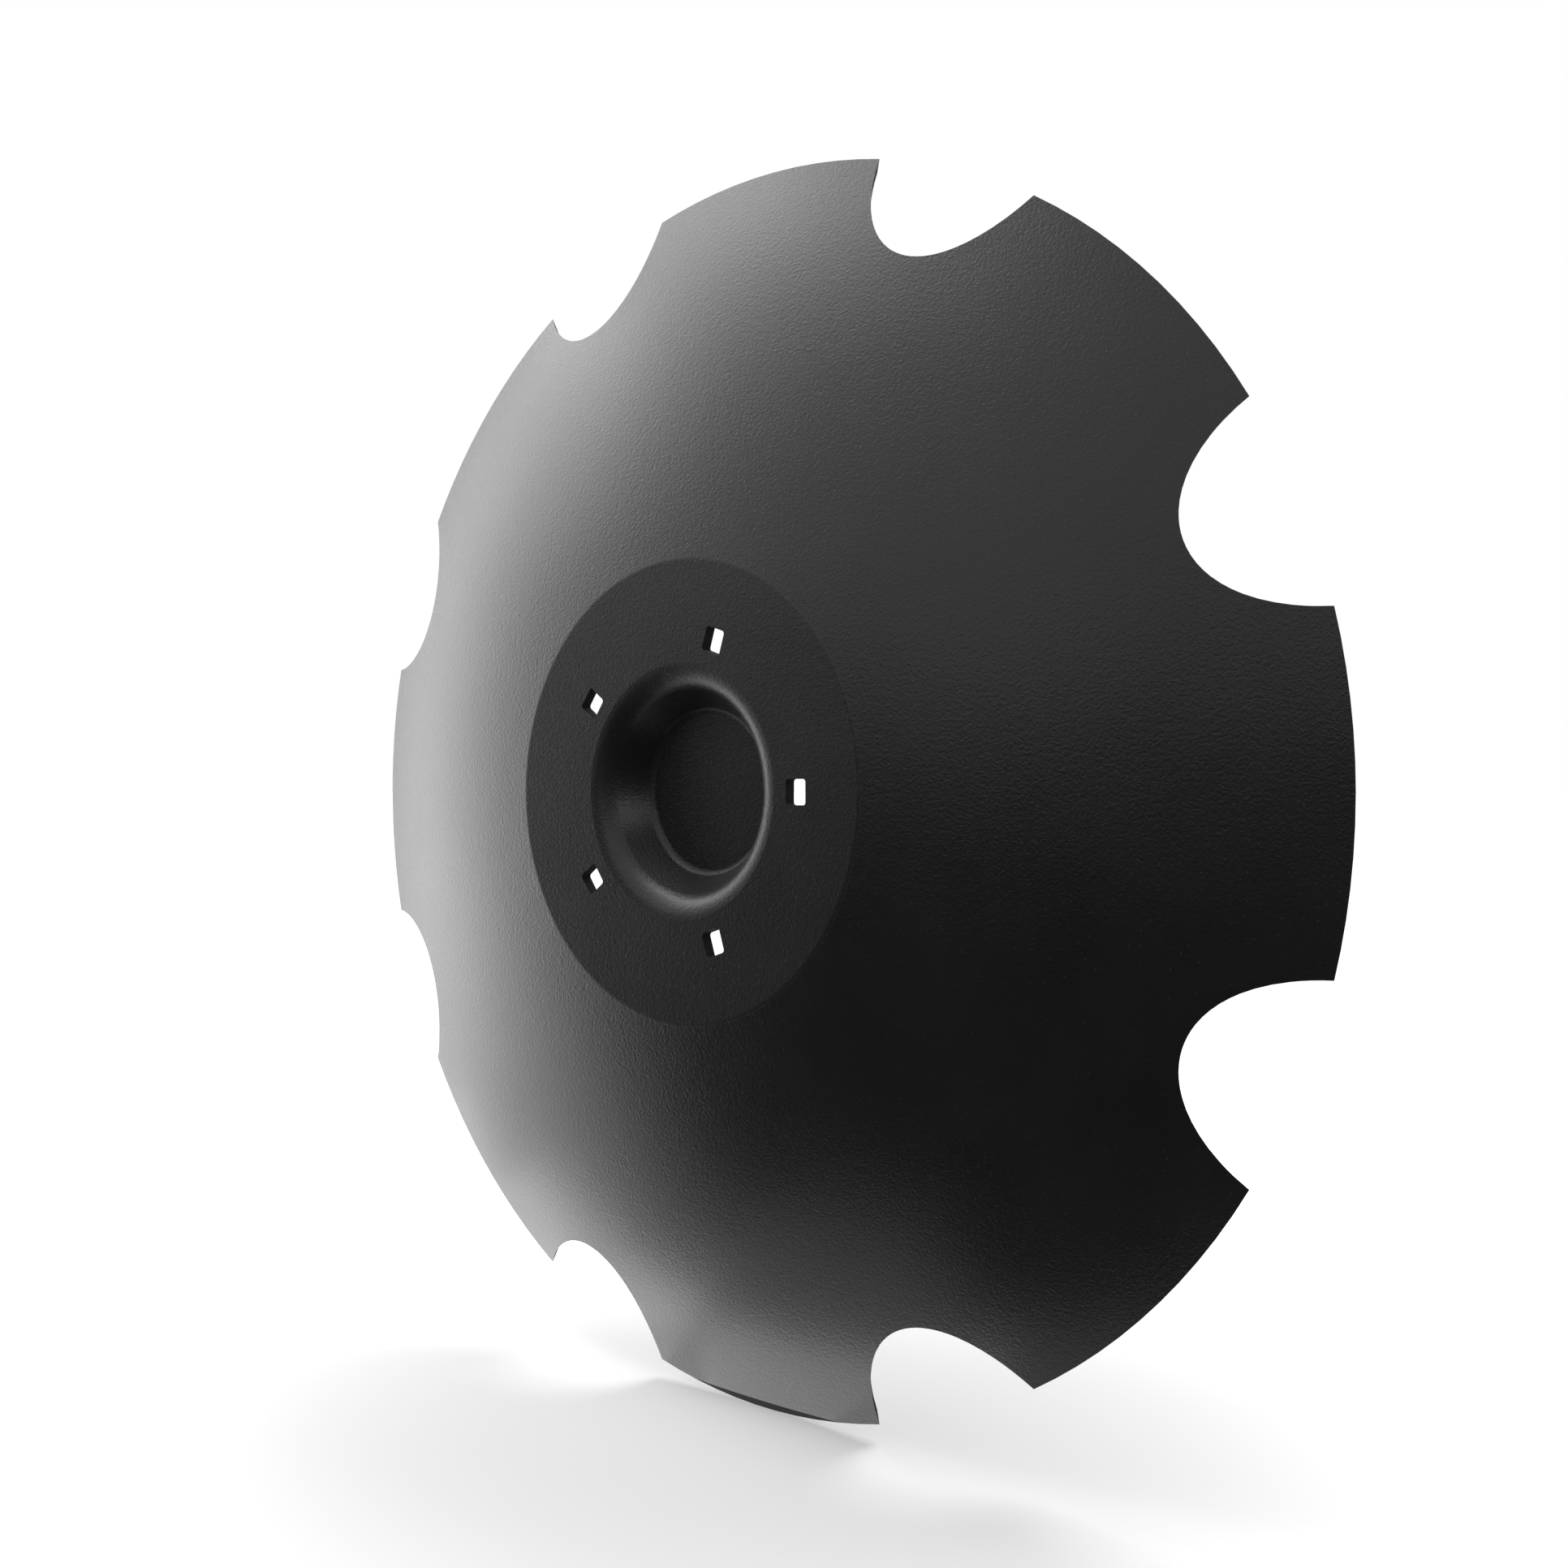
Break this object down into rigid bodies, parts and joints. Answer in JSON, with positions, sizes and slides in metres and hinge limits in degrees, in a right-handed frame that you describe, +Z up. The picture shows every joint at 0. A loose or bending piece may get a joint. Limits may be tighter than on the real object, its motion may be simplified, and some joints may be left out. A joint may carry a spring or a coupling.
{
  "type": "notched concave disc blade",
  "caption": "Notched concave disc blade: a dished steel plate with a flat hub, a dimpled centre, square bolt holes and a notched, sharpened rim.",
  "frame": {"origin": "on the disc axis, in the plane of the convex side's flat hub face", "axes": "+Y along the disc axis, from the convex hub side towards the open side of the dish; +Z up with the blade standing on its rim; +X through the first bolt hole and the middle of a lobe"},
  "size_m": [0.6603, 0.0701, 0.6602],
  "materials": {
    "painted_steel": "satin black paint with a fine orange-peel texture over pressed steel"
  },
  "bodies": {
    "root": {"disc_blade": "painted_steel"}
  },
  "joints": []
}
